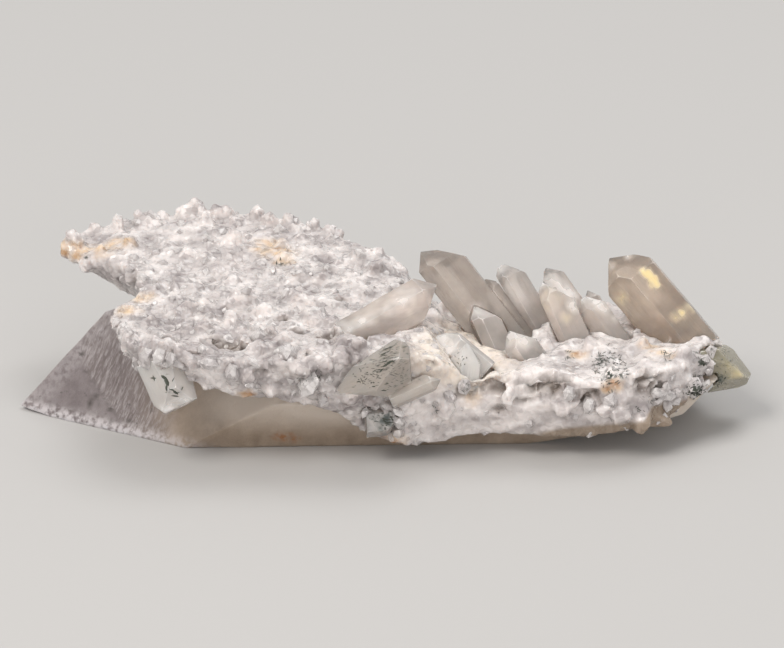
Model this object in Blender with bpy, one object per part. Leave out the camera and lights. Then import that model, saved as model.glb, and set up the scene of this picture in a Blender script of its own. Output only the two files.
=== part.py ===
# Topaz on quartz: a doubly grown cabinet specimen, lying on one quartz crystal.
# A long milky quartz crystal is the base, a drusy quartz crust is grown over it,
# and larger prismatic crystals stand in the crust.
# Lengths below are in millimetres and become metres when a mesh is made.

import math
import random

import bmesh
import bpy
from mathutils import Matrix, Vector
from mathutils.bvhtree import BVHTree
from mathutils.geometry import delaunay_2d_cdt

# Driving dimensions

MM = 0.001
STEP = 0.15            # one measured step of the picture, for a 109 mm long piece
VIEW_TILT = 22.0       # degrees the line of sight dips below the horizon
MIDDLE_COLUMN = 384.0  # picture column of X = 0
CONTACT_ROW = 445.0    # picture row where the front of the base meets the table
CLEARANCE = 0.3        # gap kept between two grown-together solids
PYRAMID = 51.8         # degrees between a pyramid face normal and the crystal axis
GRID = 2.9             # spacing of the points the crust surface is built on
ROUGHNESS = 0.75       # random height of a crust point
SMALL_CRYSTALS = 150   # small quartz crystals fused into the crust
SMALL_APART = 2.6      # least distance between two small crystals
BLANK_REACH = 90.0     # half size of the blank a crystal is cut from
FIELD_START = (-56.0, -12.0)  # near left corner of the crust's grid of points
FIELD_SIZE = (112.0, 60.0)    # how far that grid runs across and back

random.seed(41)

SIN_TILT = math.sin(math.radians(VIEW_TILT))
COS_TILT = math.cos(math.radians(VIEW_TILT))
RIGHT = Vector((1.0, 0.0, 0.0))
UP = Vector((0.0, SIN_TILT, COS_TILT))
TOWARD = Vector((0.0, -COS_TILT, SIN_TILT))

# Measured places


def seen(column, row, depth):
    """The point that lies at this picture place and this depth from the front contact."""
    across = (column - MIDDLE_COLUMN) * STEP
    up = (CONTACT_ROW - row) * STEP
    return Vector((across, depth, (up - depth * SIN_TILT) / COS_TILT))


def heading(lean, away):
    """A direction that leans by this angle in the picture and goes back by this share."""
    angle = math.radians(lean)
    return (math.cos(angle) * RIGHT + math.sin(angle) * UP - away * TOWARD).normalized()


# Meshes


def cut_by_planes(planes, centre, grow):
    """The convex solid that lies behind every plane, each moved outward by grow."""
    bm = bmesh.new()
    bmesh.ops.create_cube(bm, size=2.0 * BLANK_REACH)
    bmesh.ops.translate(bm, verts=bm.verts[:], vec=centre)
    for normal, distance in planes:
        geometry = bm.verts[:] + bm.edges[:] + bm.faces[:]
        place = normal * (distance + grow)
        bmesh.ops.bisect_plane(
            bm, geom=geometry, dist=1e-6, plane_co=place, plane_no=normal, clear_outer=True
        )
        rim = [edge for edge in bm.edges if edge.is_boundary]
        if rim:
            bmesh.ops.holes_fill(bm, edges=rim, sides=0)
    bmesh.ops.remove_doubles(bm, verts=bm.verts[:], dist=1e-4)
    bmesh.ops.triangulate(bm, faces=bm.faces[:])
    bmesh.ops.recalc_face_normals(bm, faces=bm.faces[:])
    return bm


def to_object(name, bm):
    """A new object in metres from a mesh built in millimetres."""
    bmesh.ops.scale(bm, vec=(MM, MM, MM), verts=bm.verts[:])
    mesh = bpy.data.meshes.new(name)
    bm.to_mesh(mesh)
    bm.free()
    obj = bpy.data.objects.new(name, mesh)
    bpy.context.scene.collection.objects.link(obj)
    return obj


def paint(obj, colour, roughness, transmission):
    """One plain material of its own for a sub-part."""
    material = bpy.data.materials.new(obj.name + "_material")
    material.use_nodes = True
    shader = material.node_tree.nodes["Principled BSDF"]
    shader.inputs["Base Color"].default_value = (*colour, 1.0)
    shader.inputs["Roughness"].default_value = roughness
    shader.inputs["Metallic"].default_value = 0.0
    shader.inputs["Transmission Weight"].default_value = transmission
    material.diffuse_color = (*colour, 1.0)
    obj.data.materials.clear()
    obj.data.materials.append(material)


def bake(obj):
    """The object's mesh with its modifiers in it."""
    graph = bpy.context.evaluated_depsgraph_get()
    graph.update()
    mesh = bpy.data.meshes.new_from_object(obj.evaluated_get(graph))
    old = obj.data
    obj.modifiers.clear()
    obj.data = mesh
    bpy.data.meshes.remove(old)


def combine(obj, other, operation):
    """One exact Boolean step; the second object is used up."""
    modifier = obj.modifiers.new("combine", "BOOLEAN")
    modifier.operation = operation
    modifier.solver = "EXACT"
    modifier.object = other
    bake(obj)
    bpy.data.objects.remove(other)


def keep_largest(obj):
    """Drop the crumbs a Boolean step leaves loose."""
    bm = bmesh.new()
    bm.from_mesh(obj.data)
    bm.faces.ensure_lookup_table()
    left = set(bm.faces)
    bodies = []
    while left:
        start = min(left, key=lambda face: face.index)
        left.discard(start)
        body = [start]
        queue = [start]
        while queue:
            face = queue.pop()
            for edge in face.edges:
                for near in edge.link_faces:
                    if near in left:
                        left.discard(near)
                        body.append(near)
                        queue.append(near)
        bodies.append(body)
    bodies.sort(key=len)
    loose = [face for body in bodies[:-1] for face in body]
    bmesh.ops.delete(bm, geom=loose, context="FACES")
    bm.to_mesh(obj.data)
    bm.free()


# Crystals


def crystal_planes(tip, lean, away, right, left, front, back, length, roll=0.0, blunt=()):
    """Six prism faces, six pyramid faces that meet near the tip, and the buried end."""
    axis = heading(lean, away)
    side = axis.cross(TOWARD).normalized()
    face = side.cross(axis).normalized()
    reach = (right, front, front, left, back, back)
    slope = math.radians(PYRAMID)
    planes = []
    for index in range(6):
        turn = math.radians(60.0 * index + roll)
        normal = math.cos(turn) * side + math.sin(turn) * face
        planes.append((normal, normal.dot(tip) + reach[index]))
        pyramid = math.cos(slope) * axis + math.sin(slope) * normal
        inward = blunt[index] if index < len(blunt) else 0.0
        planes.append((pyramid, pyramid.dot(tip) - inward))
    end = -axis
    planes.append((end, end.dot(tip) + length))
    return planes


def leaning_face(angle, toward, column, row, depth):
    """A plane whose normal has this angle in the picture and this tilt to the viewer."""
    turn = math.radians(angle)
    tilt = math.radians(toward)
    normal = math.cos(tilt) * (math.cos(turn) * RIGHT + math.sin(turn) * UP)
    normal = normal + math.sin(tilt) * TOWARD
    return (normal, normal.dot(seen(column, row, depth)))


def upright_pair():
    worn = (0, 0.5, 0, 0, 0, 0.8)
    tall = crystal_planes(seen(421, 246, 21.6), 128, 0.20, 4.3, 2.5, 2.7, 2.9, 21.0, 8.0, worn)
    low = crystal_planes(seen(483, 278, 20.2), 125, 0.20, 2.7, 1.8, 1.8, 1.9, 14.5, -6.0, (0, 0, 0.4))
    return [tall, low]


def upright_second():
    worn = (0, 0.3, 0, 0, 0.5)
    return [crystal_planes(seen(499, 262, 21.5), 120, 0.15, 2.7, 1.4, 1.9, 2.0, 15.5, 5.0, worn)]


def upright_behind():
    worn = (0, 0, 0, 0, 0.4)
    return [crystal_planes(seen(545, 267, 23.6), 125, 0.22, 1.9, 1.4, 1.6, 1.6, 15.5, -9.0, worn)]


def upright_frosted():
    return [crystal_planes(seen(541, 280, 17.2), 114, 0.12, 3.3, 1.2, 2.0, 2.1, 13.0, 10.0, (0.3, 0, 0.5))]


def upright_stubby():
    main = crystal_planes(seen(581, 295, 17.4), 125, 0.12, 2.3, 2.0, 1.9, 1.9, 12.0, 0.0, (0, 0.4, 0, 0, 0.3))
    small = crystal_planes(seen(588, 290, 20.6), 115, 0.12, 1.2, 1.2, 1.1, 1.3, 11.0, 12.0)
    return [main, small]


def upright_large():
    return [
        crystal_planes(seen(609, 249, 22.4), 130, 0.15, 4.0, 4.4, 3.6, 3.7, 21.0, 6.0, (0, 1.0, 0, 0, 0, 0.9))
    ]


def low_first():
    return [crystal_planes(seen(474, 305, 13.4), 114, 0.15, 2.8, 1.4, 1.8, 1.9, 12.0, -5.0, (0, 0.3))]


def low_second():
    return [crystal_planes(seen(505, 330, 6.8), 125, 0.15, 2.9, 1.9, 1.9, 1.9, 10.0, 9.0, (0, 0, 0.5))]


def hanging_crystal():
    """The stubby crystal under the front rim, ended by one almost flat face."""
    depth = -5.8
    return [[
        leaning_face(204, 0, 155, 396, depth),
        leaning_face(204, 42, 155, 396, depth - 0.6),
        leaning_face(204, -50, 155, 396, depth),
        leaning_face(186, 4, 141, 352, depth),
        leaning_face(14, 0, 200, 392, depth),
        leaning_face(16, 40, 196, 392, depth - 1.4),
        leaning_face(14, -48, 200, 392, depth),
        leaning_face(295, 6, 186, 405, depth),
        leaning_face(236, 4, 167, 411, depth),
        leaning_face(288, 50, 184, 401, depth - 2.2),
        leaning_face(95, 82, 175, 380, depth - 2.7),
        leaning_face(270, -80, 175, 380, depth + 2.8),
        leaning_face(110, 0, 166, 357, depth),
    ]]


def dark_crystal():
    """The broad chisel with dark needles in it, and the slim one grown to its side."""
    depth = -8.6
    chisel = [
        leaning_face(123, 0, 368, 350, depth),
        leaning_face(123, 48, 371, 354, depth),
        leaning_face(123, -48, 371, 354, depth),
        leaning_face(303, 0, 411, 386, depth),
        leaning_face(303, 45, 410, 385, depth),
        leaning_face(303, -45, 410, 385, depth),
        leaning_face(104, 4, 388, 341, depth),
        leaning_face(76, 4, 402, 341, depth),
        leaning_face(0, 6, 410, 360, depth),
        leaning_face(45, 50, 409, 346, depth),
        leaning_face(40, -50, 409, 346, depth),
        leaning_face(213, 70, 400, 358, depth - 2.4),
        leaning_face(33, -72, 392, 362, depth + 3.2),
        leaning_face(266, 0, 372, 394, depth),
        leaning_face(262, 42, 372, 391, depth - 2.0),
        leaning_face(213, 0, 338, 388, depth),
    ]
    slim = crystal_planes(seen(440, 378, -8.4), 24, -0.05, 1.0, 1.6, 1.2, 1.4, 8.0, 14.0)
    return [chisel, slim]


def beige_crystal():
    return [crystal_planes(seen(441, 285, 8.5), 30, 0.30, 3.5, 2.7, 2.6, 2.8, 17.5, 12.0, (0.6, 0.4, 0.3))]


def milky_crystal():
    return [crystal_planes(seen(431, 333, 3.2), 140, 0.05, 2.6, 2.2, 2.0, 2.0, 10.0, 20.0, (0, 0.9))]


def speckled_crystal():
    return [crystal_planes(seen(466, 342, -0.6), 84, -0.05, 2.4, 2.1, 1.8, 1.9, 6.4, 12.0, (0, 0.3))]


def green_crystal():
    """The crystal low on the front whose broad face holds the dark green patch."""
    return [crystal_planes(seen(409, 414, -4.9), 6, 0.12, 2.3, 2.0, 1.8, 2.2, 6.6, 25.0, (0.4, 0, 0.2))]


def right_tip():
    """The greenish end of the whole piece, worn to blunt faces."""
    depth = 10.0
    return [[
        leaning_face(58, 10, 730, 353, depth),
        leaning_face(39, 16, 740, 367, depth),
        leaning_face(335, 5, 747, 380, depth),
        leaning_face(285, 16, 714, 390, depth),
        leaning_face(95, 5, 722, 347, depth),
        leaning_face(35, 60, 728, 365, depth - 3.4),
        leaning_face(285, 58, 722, 376, depth - 3.2),
        leaning_face(20, -62, 728, 365, depth + 3.6),
        leaning_face(150, -60, 720, 360, depth + 3.4),
        leaning_face(250, -50, 724, 380, depth + 3.0),
        leaning_face(175, 0, 696, 370, depth),
    ]]


CRYSTALS = {
    "topaz_upright_pair": (upright_pair, (0.52, 0.49, 0.45)),
    "topaz_upright_second": (upright_second, (0.55, 0.51, 0.47)),
    "topaz_upright_behind": (upright_behind, (0.50, 0.47, 0.44)),
    "topaz_upright_frosted": (upright_frosted, (0.58, 0.51, 0.44)),
    "topaz_upright_stubby": (upright_stubby, (0.58, 0.52, 0.46)),
    "topaz_upright_large": (upright_large, (0.54, 0.48, 0.40)),
    "topaz_low_first": (low_first, (0.52, 0.47, 0.41)),
    "topaz_low_second": (low_second, (0.58, 0.54, 0.48)),
    "topaz_hanging": (hanging_crystal, (0.62, 0.60, 0.57)),
    "topaz_dark_chisel": (dark_crystal, (0.40, 0.39, 0.34)),
    "topaz_beige": (beige_crystal, (0.66, 0.60, 0.52)),
    "topaz_milky": (milky_crystal, (0.78, 0.75, 0.71)),
    "topaz_speckled": (speckled_crystal, (0.62, 0.60, 0.54)),
    "topaz_green_patch": (green_crystal, (0.50, 0.49, 0.45)),
    "quartz_green_tip": (right_tip, (0.47, 0.46, 0.33)),
}


# Crystals that stop growing where another one stands in their way
STOPPED_BY = {
    "topaz_upright_pair": (low_first, upright_second),
    "topaz_upright_second": (upright_frosted,),
    "topaz_upright_behind": (upright_stubby,),
    "topaz_speckled": (milky_crystal,),
    "quartz_green_tip": (upright_large,),
}


def grown_solid(name, planes_list, grow):
    """Crystals that grew through one another, joined in one solid."""
    first = None
    for planes in planes_list:
        centre = Vector((0.0, 10.0, 10.0))
        obj = to_object(name, cut_by_planes(planes, centre, grow))
        if first is None:
            first = obj
        else:
            combine(first, obj, "UNION")
    first.name = name
    return first


# Base: the long quartz crystal

TIP = Vector((-54.6, 14.4, 0.9))


def plane_at(normal, point):
    unit = Vector(normal).normalized()
    return (unit, unit.dot(Vector(point)))


def base_planes():
    """Rest face, front face, the two pyramid faces on the left, and the hidden sides."""
    return [
        plane_at((0.0, 0.0, -1.0), (0.0, 0.0, 0.0)),
        plane_at((0.03, -0.92, -0.38), (-6.0, 0.0, 0.0)),
        plane_at((0.0, -0.86, 0.50), (0.0, -3.0, 9.0)),
        plane_at((-0.447, -0.760, 0.472), TIP),
        plane_at((-0.47, -0.74, 0.48), (-47.2, 15.2, 9.2)),
        plane_at((-0.62, 0.60, 0.50), TIP),
        plane_at((-0.05, 0.10, -1.0), (-40.0, 16.0, 0.0)),
        plane_at((0.07, 0.0, 1.0), (-40.0, 0.0, 15.0)),
        plane_at((0.0, 0.86, -0.50), (0.0, 27.0, 0.0)),
        plane_at((0.02, 0.87, 0.48), (0.0, 30.0, 6.0)),
        plane_at((0.17, -0.08, -0.98), (23.0, 4.0, 0.0)),
        plane_at((0.72, -0.30, -0.62), (45.0, 3.0, 4.4)),
        plane_at((0.90, 0.30, 0.30), (48.5, 10.0, 8.0)),
        plane_at((0.35, -0.93, -0.10), (36.0, -0.5, 5.0)),
    ]


# Crust: the drusy quartz over the base

OUTLINE = [
    (-49.2, 31.6), (-45.8, 28.8), (-42.0, 26.6), (-37.4, 22.2), (-36.6, 16.2), (-39.2, 10.8),
    (-40.0, 5.0), (-37.6, -3.0), (-32.6, -8.0), (-25.0, -9.2), (-17.5, -8.2), (-11.0, -9.2),
    (-4.0, -8.0), (3.0, -8.6), (7.5, -7.2), (12.0, -5.2), (16.0, -4.8), (20.0, -5.6),
    (27.0, -5.8), (34.0, -5.4), (40.6, -4.0), (44.5, 0.2), (48.6, 4.6), (51.5, 8.4),
    (51.4, 12.8), (49.8, 18.2), (46.4, 23.6), (36.0, 27.6), (24.0, 28.4), (13.0, 27.6),
    (5.0, 26.2), (1.0, 27.6), (-3.2, 31.6), (-7.0, 35.4), (-12.6, 39.2), (-19.0, 42.2),
    (-25.0, 43.4), (-31.0, 43.2), (-37.5, 41.4), (-43.2, 39.2), (-47.8, 36.4),
]
SPINE = [(-46.0, 33.2), (-36.0, 27.0), (-25.0, 18.0), (0.0, 11.5), (30.0, 11.0), (46.0, 10.5)]
FRONT_EDGE = [
    (-50.0, 17.4), (-44.0, 16.4), (-38.0, 14.2), (-33.0, 13.4), (-27.0, 12.6), (-22.0, 10.6),
    (-15.0, 9.4), (-9.0, 8.4), (-5.0, 3.6), (0.0, 2.8), (9.0, 2.2), (14.0, 2.8),
    (33.0, 3.0), (41.0, 4.0), (47.0, 5.0), (55.0, 5.6),
]
BACK_EDGE = [
    (-50.0, 17.4), (-42.0, 14.6), (-32.0, 11.4), (-20.0, 9.0), (-4.0, 6.4), (8.0, 4.0),
    (30.0, 3.0), (45.0, 4.6), (55.0, 5.6),
]


def along(table, x):
    """Straight-line value of a table of (x, value) pairs."""
    if x <= table[0][0]:
        return table[0][1]
    for (x0, v0), (x1, v1) in zip(table, table[1:]):
        if x <= x1:
            return v0 + (v1 - v0) * (x - x0) / (x1 - x0)
    return table[-1][1]


def ease(value):
    """A soft step from 0 to 1."""
    value = min(max(value, 0.0), 1.0)
    return value * value * (3.0 - 2.0 * value)


def mound(x, y, middle, spread, height):
    """A soft hill of this height and spread across and back, around its middle."""
    across = (x - middle[0]) / spread[0]
    back = (y - middle[1]) / spread[1]
    return height * math.exp(-across * across - back * back)


def crust_top(x, y):
    """Height of the drusy surface: a high left field, a lower right one."""
    high = 17.4 + 0.068 * (y + 8.0)
    high -= 0.2 * ease((-36.0 - x) / 8.0)
    low = 12.9 + 0.9 * math.sin(0.35 * x) * math.cos(0.3 * y) - 0.06 * max(y - 14.0, 0.0)
    low -= 0.75 * max(x - 47.5, 0.0)
    low += mound(x, y, (21.0, 17.0), (6.7, 4.0), 1.5)
    low += mound(x, y, (46.5, 21.0), (3.8, 4.2), 1.4)
    share = ease((x - 4.0 + 0.16 * (y - 4.0)) / 8.5)
    return high * (1.0 - share) + low * share


def crust_edge(x, y):
    """Height of the crust's lower edge, on the front and on the back."""
    return along(FRONT_EDGE, x) if y < 14.0 + 0.35 * max(-x - 20.0, 0.0) else along(BACK_EDGE, x)


def nearest_on_spine(x, y):
    best = None
    for (x0, y0), (x1, y1) in zip(SPINE, SPINE[1:]):
        run = Vector((x1 - x0, y1 - y0))
        share = ((x - x0) * run.x + (y - y0) * run.y) / run.length_squared
        share = min(max(share, 0.0), 1.0)
        spot = Vector((x0, y0)) + run * share
        distance = (spot - Vector((x, y))).length
        if best is None or distance < best[0]:
            best = (distance, spot)
    return best


def ring_points():
    """The outline walked in even steps, with a little wander."""
    points = []
    count = len(OUTLINE)
    for index in range(count):
        start = Vector(OUTLINE[index])
        end = Vector(OUTLINE[(index + 1) % count])
        parts = max(1, round((end - start).length / GRID))
        for part in range(parts):
            spot = start.lerp(end, part / parts)
            spot.x += random.uniform(-0.45, 0.45)
            spot.y += random.uniform(-0.45, 0.45)
            points.append(spot)
    return points


def inside(ring, x, y):
    """Even-odd test of a point against a closed ring."""
    odd = False
    count = len(ring)
    for index in range(count):
        a = ring[index]
        b = ring[(index + 1) % count]
        if (a.y > y) != (b.y > y) and x < (b.x - a.x) * (y - a.y) / (b.y - a.y) + a.x:
            odd = not odd
    return odd


def ring_distance(ring, x, y):
    spot = Vector((x, y))
    best = 1e9
    count = len(ring)
    for index in range(count):
        a = ring[index]
        run = ring[(index + 1) % count] - a
        share = min(max((spot - a).dot(run) / run.length_squared, 0.0), 1.0)
        best = min(best, (a + run * share - spot).length)
    return best


def field(ring):
    """Triangles over a ring, with wandering grid points inside it."""
    points = [point.copy() for point in ring]
    columns = int(FIELD_SIZE[0] / GRID)
    rows = int(FIELD_SIZE[1] / GRID)
    for row in range(rows):
        for column in range(columns):
            x = FIELD_START[0] + (column + 0.5 * (row % 2)) * GRID + random.uniform(-0.8, 0.8)
            y = FIELD_START[1] + row * GRID + random.uniform(-0.8, 0.8)
            if inside(ring, x, y) and ring_distance(ring, x, y) > 0.6 * GRID:
                points.append(Vector((x, y)))
    loop = [list(range(len(ring)))]
    result = delaunay_2d_cdt(points, [], loop, 1, 1e-5)
    return result[0], result[2], result[3]


def crust_body():
    """The crust without its crystals: top field, bulging side wall, lower field."""
    ring = ring_points()
    bm = bmesh.new()
    upper = []
    middle = []
    lower_ring = []
    for spot in ring:
        top = crust_top(spot.x, spot.y) + random.uniform(-0.5, 0.3)
        edge = min(crust_edge(spot.x, spot.y) + random.uniform(-0.5, 0.5), top - 2.0)
        distance, spine = nearest_on_spine(spot.x, spot.y)
        slope = 0.36 - 0.16 * ease((spot.x + 8.0) / 12.0)
        inset = min(slope * (top - edge), 0.55 * distance)
        pull = (spine - spot).normalized()
        low = spot + pull * inset
        wander = Vector((random.uniform(-0.4, 0.4), random.uniform(-0.4, 0.4)))
        half = spot + pull * (0.42 * inset - 0.5) + wander
        waist = 0.45 * top + 0.55 * edge + random.uniform(-0.5, 0.5)
        upper.append(bm.verts.new((spot.x, spot.y, top)))
        middle.append(bm.verts.new((half.x, half.y, waist)))
        lower_ring.append((low, edge))
    lower = [bm.verts.new((low.x, low.y, edge)) for low, edge in lower_ring]
    count = len(ring)
    for index in range(count):
        nxt = (index + 1) % count
        for a, b in ((upper, middle), (middle, lower)):
            bm.faces.new((a[index], b[index], b[nxt]))
            bm.faces.new((a[index], b[nxt], a[nxt]))
    low_points = [low for low, edge in lower_ring]
    for border, plan, is_top in ((upper, ring, True), (lower, low_points, False)):
        spots, faces, origins = field(plan)
        verts = []
        for spot, origin in zip(spots, origins):
            ring_index = [value for value in origin if value < count]
            if ring_index:
                verts.append(border[ring_index[0]])
            elif is_top:
                height = crust_top(spot.x, spot.y) + random.uniform(-ROUGHNESS, ROUGHNESS)
                verts.append(bm.verts.new((spot.x, spot.y, height)))
            else:
                height = min(crust_edge(spot.x, spot.y) + 1.0, crust_top(spot.x, spot.y) - 3.0)
                verts.append(bm.verts.new((spot.x, spot.y, height)))
        for face in faces:
            bm.faces.new([verts[index] for index in face])
    bmesh.ops.triangulate(bm, faces=bm.faces[:])
    bmesh.ops.recalc_face_normals(bm, faces=bm.faces[:])
    return bm


def small_crystal(foot, normal, radius, height):
    """A short hexagonal crystal with a six-sided point, grown out of the crust."""
    bm = bmesh.new()
    turn = random.uniform(0.0, math.pi)
    slant = random.uniform(-0.25, 0.25)
    rings = []
    for level in (-1.6 * radius, height - radius):
        ring = []
        for index in range(6):
            angle = turn + index * math.pi / 3.0
            reach = radius * (1.0 + 0.18 * math.sin(2.0 * angle))
            lift = level + (slant * radius * math.cos(angle) if level > 0.0 else 0.0)
            ring.append(bm.verts.new((reach * math.cos(angle), reach * math.sin(angle), lift)))
        rings.append(ring)
    tip = bm.verts.new((0.15 * radius, 0.0, height))
    bm.faces.new(list(reversed(rings[0])))
    for index in range(6):
        nxt = (index + 1) % 6
        bm.faces.new((rings[0][index], rings[0][nxt], rings[1][nxt], rings[1][index]))
        bm.faces.new((rings[1][index], rings[1][nxt], tip))
    rotation = Vector((0.0, 0.0, 1.0)).rotation_difference(normal).to_matrix().to_4x4()
    bmesh.ops.transform(bm, matrix=Matrix.Translation(foot) @ rotation, verts=bm.verts[:])
    bmesh.ops.triangulate(bm, faces=bm.faces[:])
    bmesh.ops.recalc_face_normals(bm, faces=bm.faces[:])
    return bm


def grow_small_crystals(body, keep_clear):
    """Small crystals on the top and the rim, away from the large ones."""
    places = []
    for face in body.faces:
        normal = face.normal.copy()
        if normal.z > -0.25 and face.calc_area() > 0.8:
            places.append((face.calc_center_median(), normal))
    random.shuffle(places)
    chosen = []
    for place, normal in places:
        if len(chosen) >= SMALL_CRYSTALS:
            break
        if any((place - other).length < SMALL_APART for other, direction in chosen):
            continue
        if any(tree.find_nearest(place)[3] < 2.3 for tree in keep_clear):
            continue
        chosen.append((place, normal))
    solids = []
    for place, normal in chosen:
        tilt = Vector([random.uniform(-0.45, 0.45) for axis in range(3)])
        direction = (normal + tilt + Vector((0.0, 0.0, 0.25))).normalized()
        radius = random.uniform(0.75, 1.45)
        solids.append(small_crystal(place, direction, radius, random.uniform(0.9, 1.9) * radius))
    return solids


def drusy_crust(cutters):
    trees = []
    for cutter in cutters:
        bm = bmesh.new()
        bm.from_mesh(cutter.data)
        bmesh.ops.scale(bm, vec=(1000.0, 1000.0, 1000.0), verts=bm.verts[:])
        trees.append(BVHTree.FromBMesh(bm))
        bm.free()
    body = crust_body()
    solids = grow_small_crystals(body, trees[:-1])
    crust = to_object("drusy_crust", body)
    joined = bmesh.new()
    for solid in solids:
        mesh = bpy.data.meshes.new("small")
        solid.to_mesh(mesh)
        solid.free()
        joined.from_mesh(mesh)
        bpy.data.meshes.remove(mesh)
    crystals = to_object("small_crystals", joined)
    modifier = crust.modifiers.new("grow", "BOOLEAN")
    modifier.operation = "UNION"
    modifier.solver = "EXACT"
    modifier.use_self = True
    modifier.object = crystals
    bake(crust)
    bpy.data.objects.remove(crystals)
    for cutter in cutters:
        combine(crust, cutter, "DIFFERENCE")
    keep_largest(crust)
    return crust


def settle(objects):
    """Bottom centre of the whole piece at the origin."""
    corners = [vertex.co for obj in objects for vertex in obj.data.vertices]
    low = Vector([min(co[axis] for co in corners) for axis in range(3)])
    high = Vector([max(co[axis] for co in corners) for axis in range(3)])
    shift = Vector((-(low.x + high.x) / 2.0, -(low.y + high.y) / 2.0, -low.z))
    for obj in objects:
        obj.data.transform(Matrix.Translation(shift))


for old in list(bpy.data.objects):
    bpy.data.objects.remove(old)

pieces = []
sockets = []
for name, (maker, colour) in CRYSTALS.items():
    planes_list = maker()
    piece = grown_solid(name, planes_list, 0.0)
    combine(piece, grown_solid("seat", [base_planes()], CLEARANCE), "DIFFERENCE")
    for other in STOPPED_BY.get(name, ()):
        combine(piece, grown_solid("neighbour", other(), CLEARANCE), "DIFFERENCE")
    keep_largest(piece)
    paint(piece, colour, 0.25, 0.4)
    pieces.append(piece)
    sockets.append(grown_solid("socket", planes_list, CLEARANCE))

base = grown_solid("quartz_crystal", [base_planes()], 0.0)
sockets.append(grown_solid("socket", [base_planes()], CLEARANCE))
paint(base, (0.33, 0.30, 0.28), 0.4, 0.2)

crust = drusy_crust(sockets)
paint(crust, (0.71, 0.67, 0.66), 0.45, 0.15)

pieces.append(base)
pieces.append(crust)
settle(pieces)
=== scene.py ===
import math

import bmesh
import bpy
import numpy as np
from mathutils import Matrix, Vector, noise
from mathutils.bvhtree import BVHTree


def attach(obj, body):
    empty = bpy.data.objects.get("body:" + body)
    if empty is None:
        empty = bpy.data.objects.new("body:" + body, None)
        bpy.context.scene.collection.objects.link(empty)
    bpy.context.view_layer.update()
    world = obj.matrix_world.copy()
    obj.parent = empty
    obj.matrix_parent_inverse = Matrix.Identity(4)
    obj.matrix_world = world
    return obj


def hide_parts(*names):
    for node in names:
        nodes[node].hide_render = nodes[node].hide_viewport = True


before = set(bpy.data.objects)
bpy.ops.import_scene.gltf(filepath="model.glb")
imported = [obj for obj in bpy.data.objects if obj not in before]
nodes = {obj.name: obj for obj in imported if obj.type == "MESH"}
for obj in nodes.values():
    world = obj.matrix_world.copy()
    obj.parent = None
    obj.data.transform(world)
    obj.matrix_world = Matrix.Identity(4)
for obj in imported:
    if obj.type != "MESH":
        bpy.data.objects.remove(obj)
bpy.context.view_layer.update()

MM = 0.001


# The base is one long milky quartz crystal that lies on its side. It grew as a
# six-sided prism with its pyramid at the left. Milky veils in it scatter light,
# and the pyramid faces have fine growth lines and a crumbly edge along the table.

def linear(code):
    """An sRGB hex colour as linear RGBA."""
    out = []
    for start in (0, 2, 4):
        value = int(code[start:start + 2], 16) / 255.0
        out.append(value / 12.92 if value <= 0.04045 else ((value + 0.055) / 1.055) ** 2.4)
    return (*out, 1.0)


def set_inputs(tree, node, values):
    """The input values of a node and its links."""
    for key, value in values.items():
        if isinstance(value, bpy.types.NodeSocket):
            tree.links.new(value, node.inputs[key])
        else:
            node.inputs[key].default_value = value


def add_node(tree, kind, values=None, **settings):
    """One shader node with its settings, its input values and its links."""
    node = tree.nodes.new(kind)
    for key, value in settings.items():
        setattr(node, key, value)
    set_inputs(tree, node, values or {})
    return node


def new_material(name):
    """A material, its node tree, its shader and the coordinates of the object."""
    material = bpy.data.materials.new(name)
    material.use_nodes = True
    tree = material.node_tree
    place = add_node(tree, "ShaderNodeTexCoord").outputs["Object"]
    return material, tree, tree.nodes["Principled BSDF"], place


def mottle(tree, place, size, detail, roughness, low, high, least=0.0, most=1.0):
    """Cloudy noise with features of this size in millimetres.

    It goes from least to most as the noise goes from low to high."""
    clouds = add_node(
        tree, "ShaderNodeTexNoise",
        {"Vector": place, "Scale": 1.0 / (size * MM), "Detail": detail, "Roughness": roughness},
    ).outputs["Fac"]
    return add_node(
        tree, "ShaderNodeMapRange",
        {"Value": clouds, "From Min": low, "From Max": high, "To Min": least, "To Max": most},
    ).outputs["Result"]


def layered(tree, tint, layers):
    """Colours laid over a first one, each where its mark on the mesh says so.

    A layer is the name of the mark, the share of it that shows, and the colour."""
    for mark, share, code in layers:
        amount = add_node(tree, "ShaderNodeAttribute", attribute_name=mark).outputs["Fac"]
        amount = add_node(
            tree, "ShaderNodeMath", {0: amount, 1: share}, operation="MULTIPLY"
        ).outputs["Value"]
        tint = add_node(
            tree, "ShaderNodeMixRGB", {"Fac": amount, "Color1": tint, "Color2": linear(code)}
        ).outputs["Color"]
    return tint


def resize(bm, factor):
    """Scale a whole bmesh, between metres and millimetres."""
    bmesh.ops.scale(bm, vec=(factor, factor, factor), verts=bm.verts[:])


def cad_mesh(*names):
    """A bmesh copy of CAD nodes, in millimetres."""
    bm = bmesh.new()
    for name in names:
        bm.from_mesh(nodes[name].data)
    resize(bm, 1.0 / MM)
    return bm


def mesh_tree(*meshes):
    """A search tree over meshes, in millimetres."""
    bm = bmesh.new()
    for mesh in meshes:
        bm.from_mesh(mesh)
    resize(bm, 1.0 / MM)
    tree = BVHTree.FromBMesh(bm)
    bm.free()
    return tree


def cad_tree(*names):
    """A search tree over CAD nodes, in millimetres."""
    return mesh_tree(*(nodes[name].data for name in names))


def add_object(name, data):
    """A new object, linked to the scene."""
    obj = bpy.data.objects.new(name, data)
    bpy.context.scene.collection.objects.link(obj)
    return obj


def place_piece(name, mesh, material, slot_name, *stands_for):
    """Link a finished mesh, already in metres, and tie it to the one rigid body."""
    mesh.materials.clear()
    mesh.materials.append(material)
    obj = add_object(name, mesh)
    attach(obj, "root")
    if stands_for:
        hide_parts(*stands_for)


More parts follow.
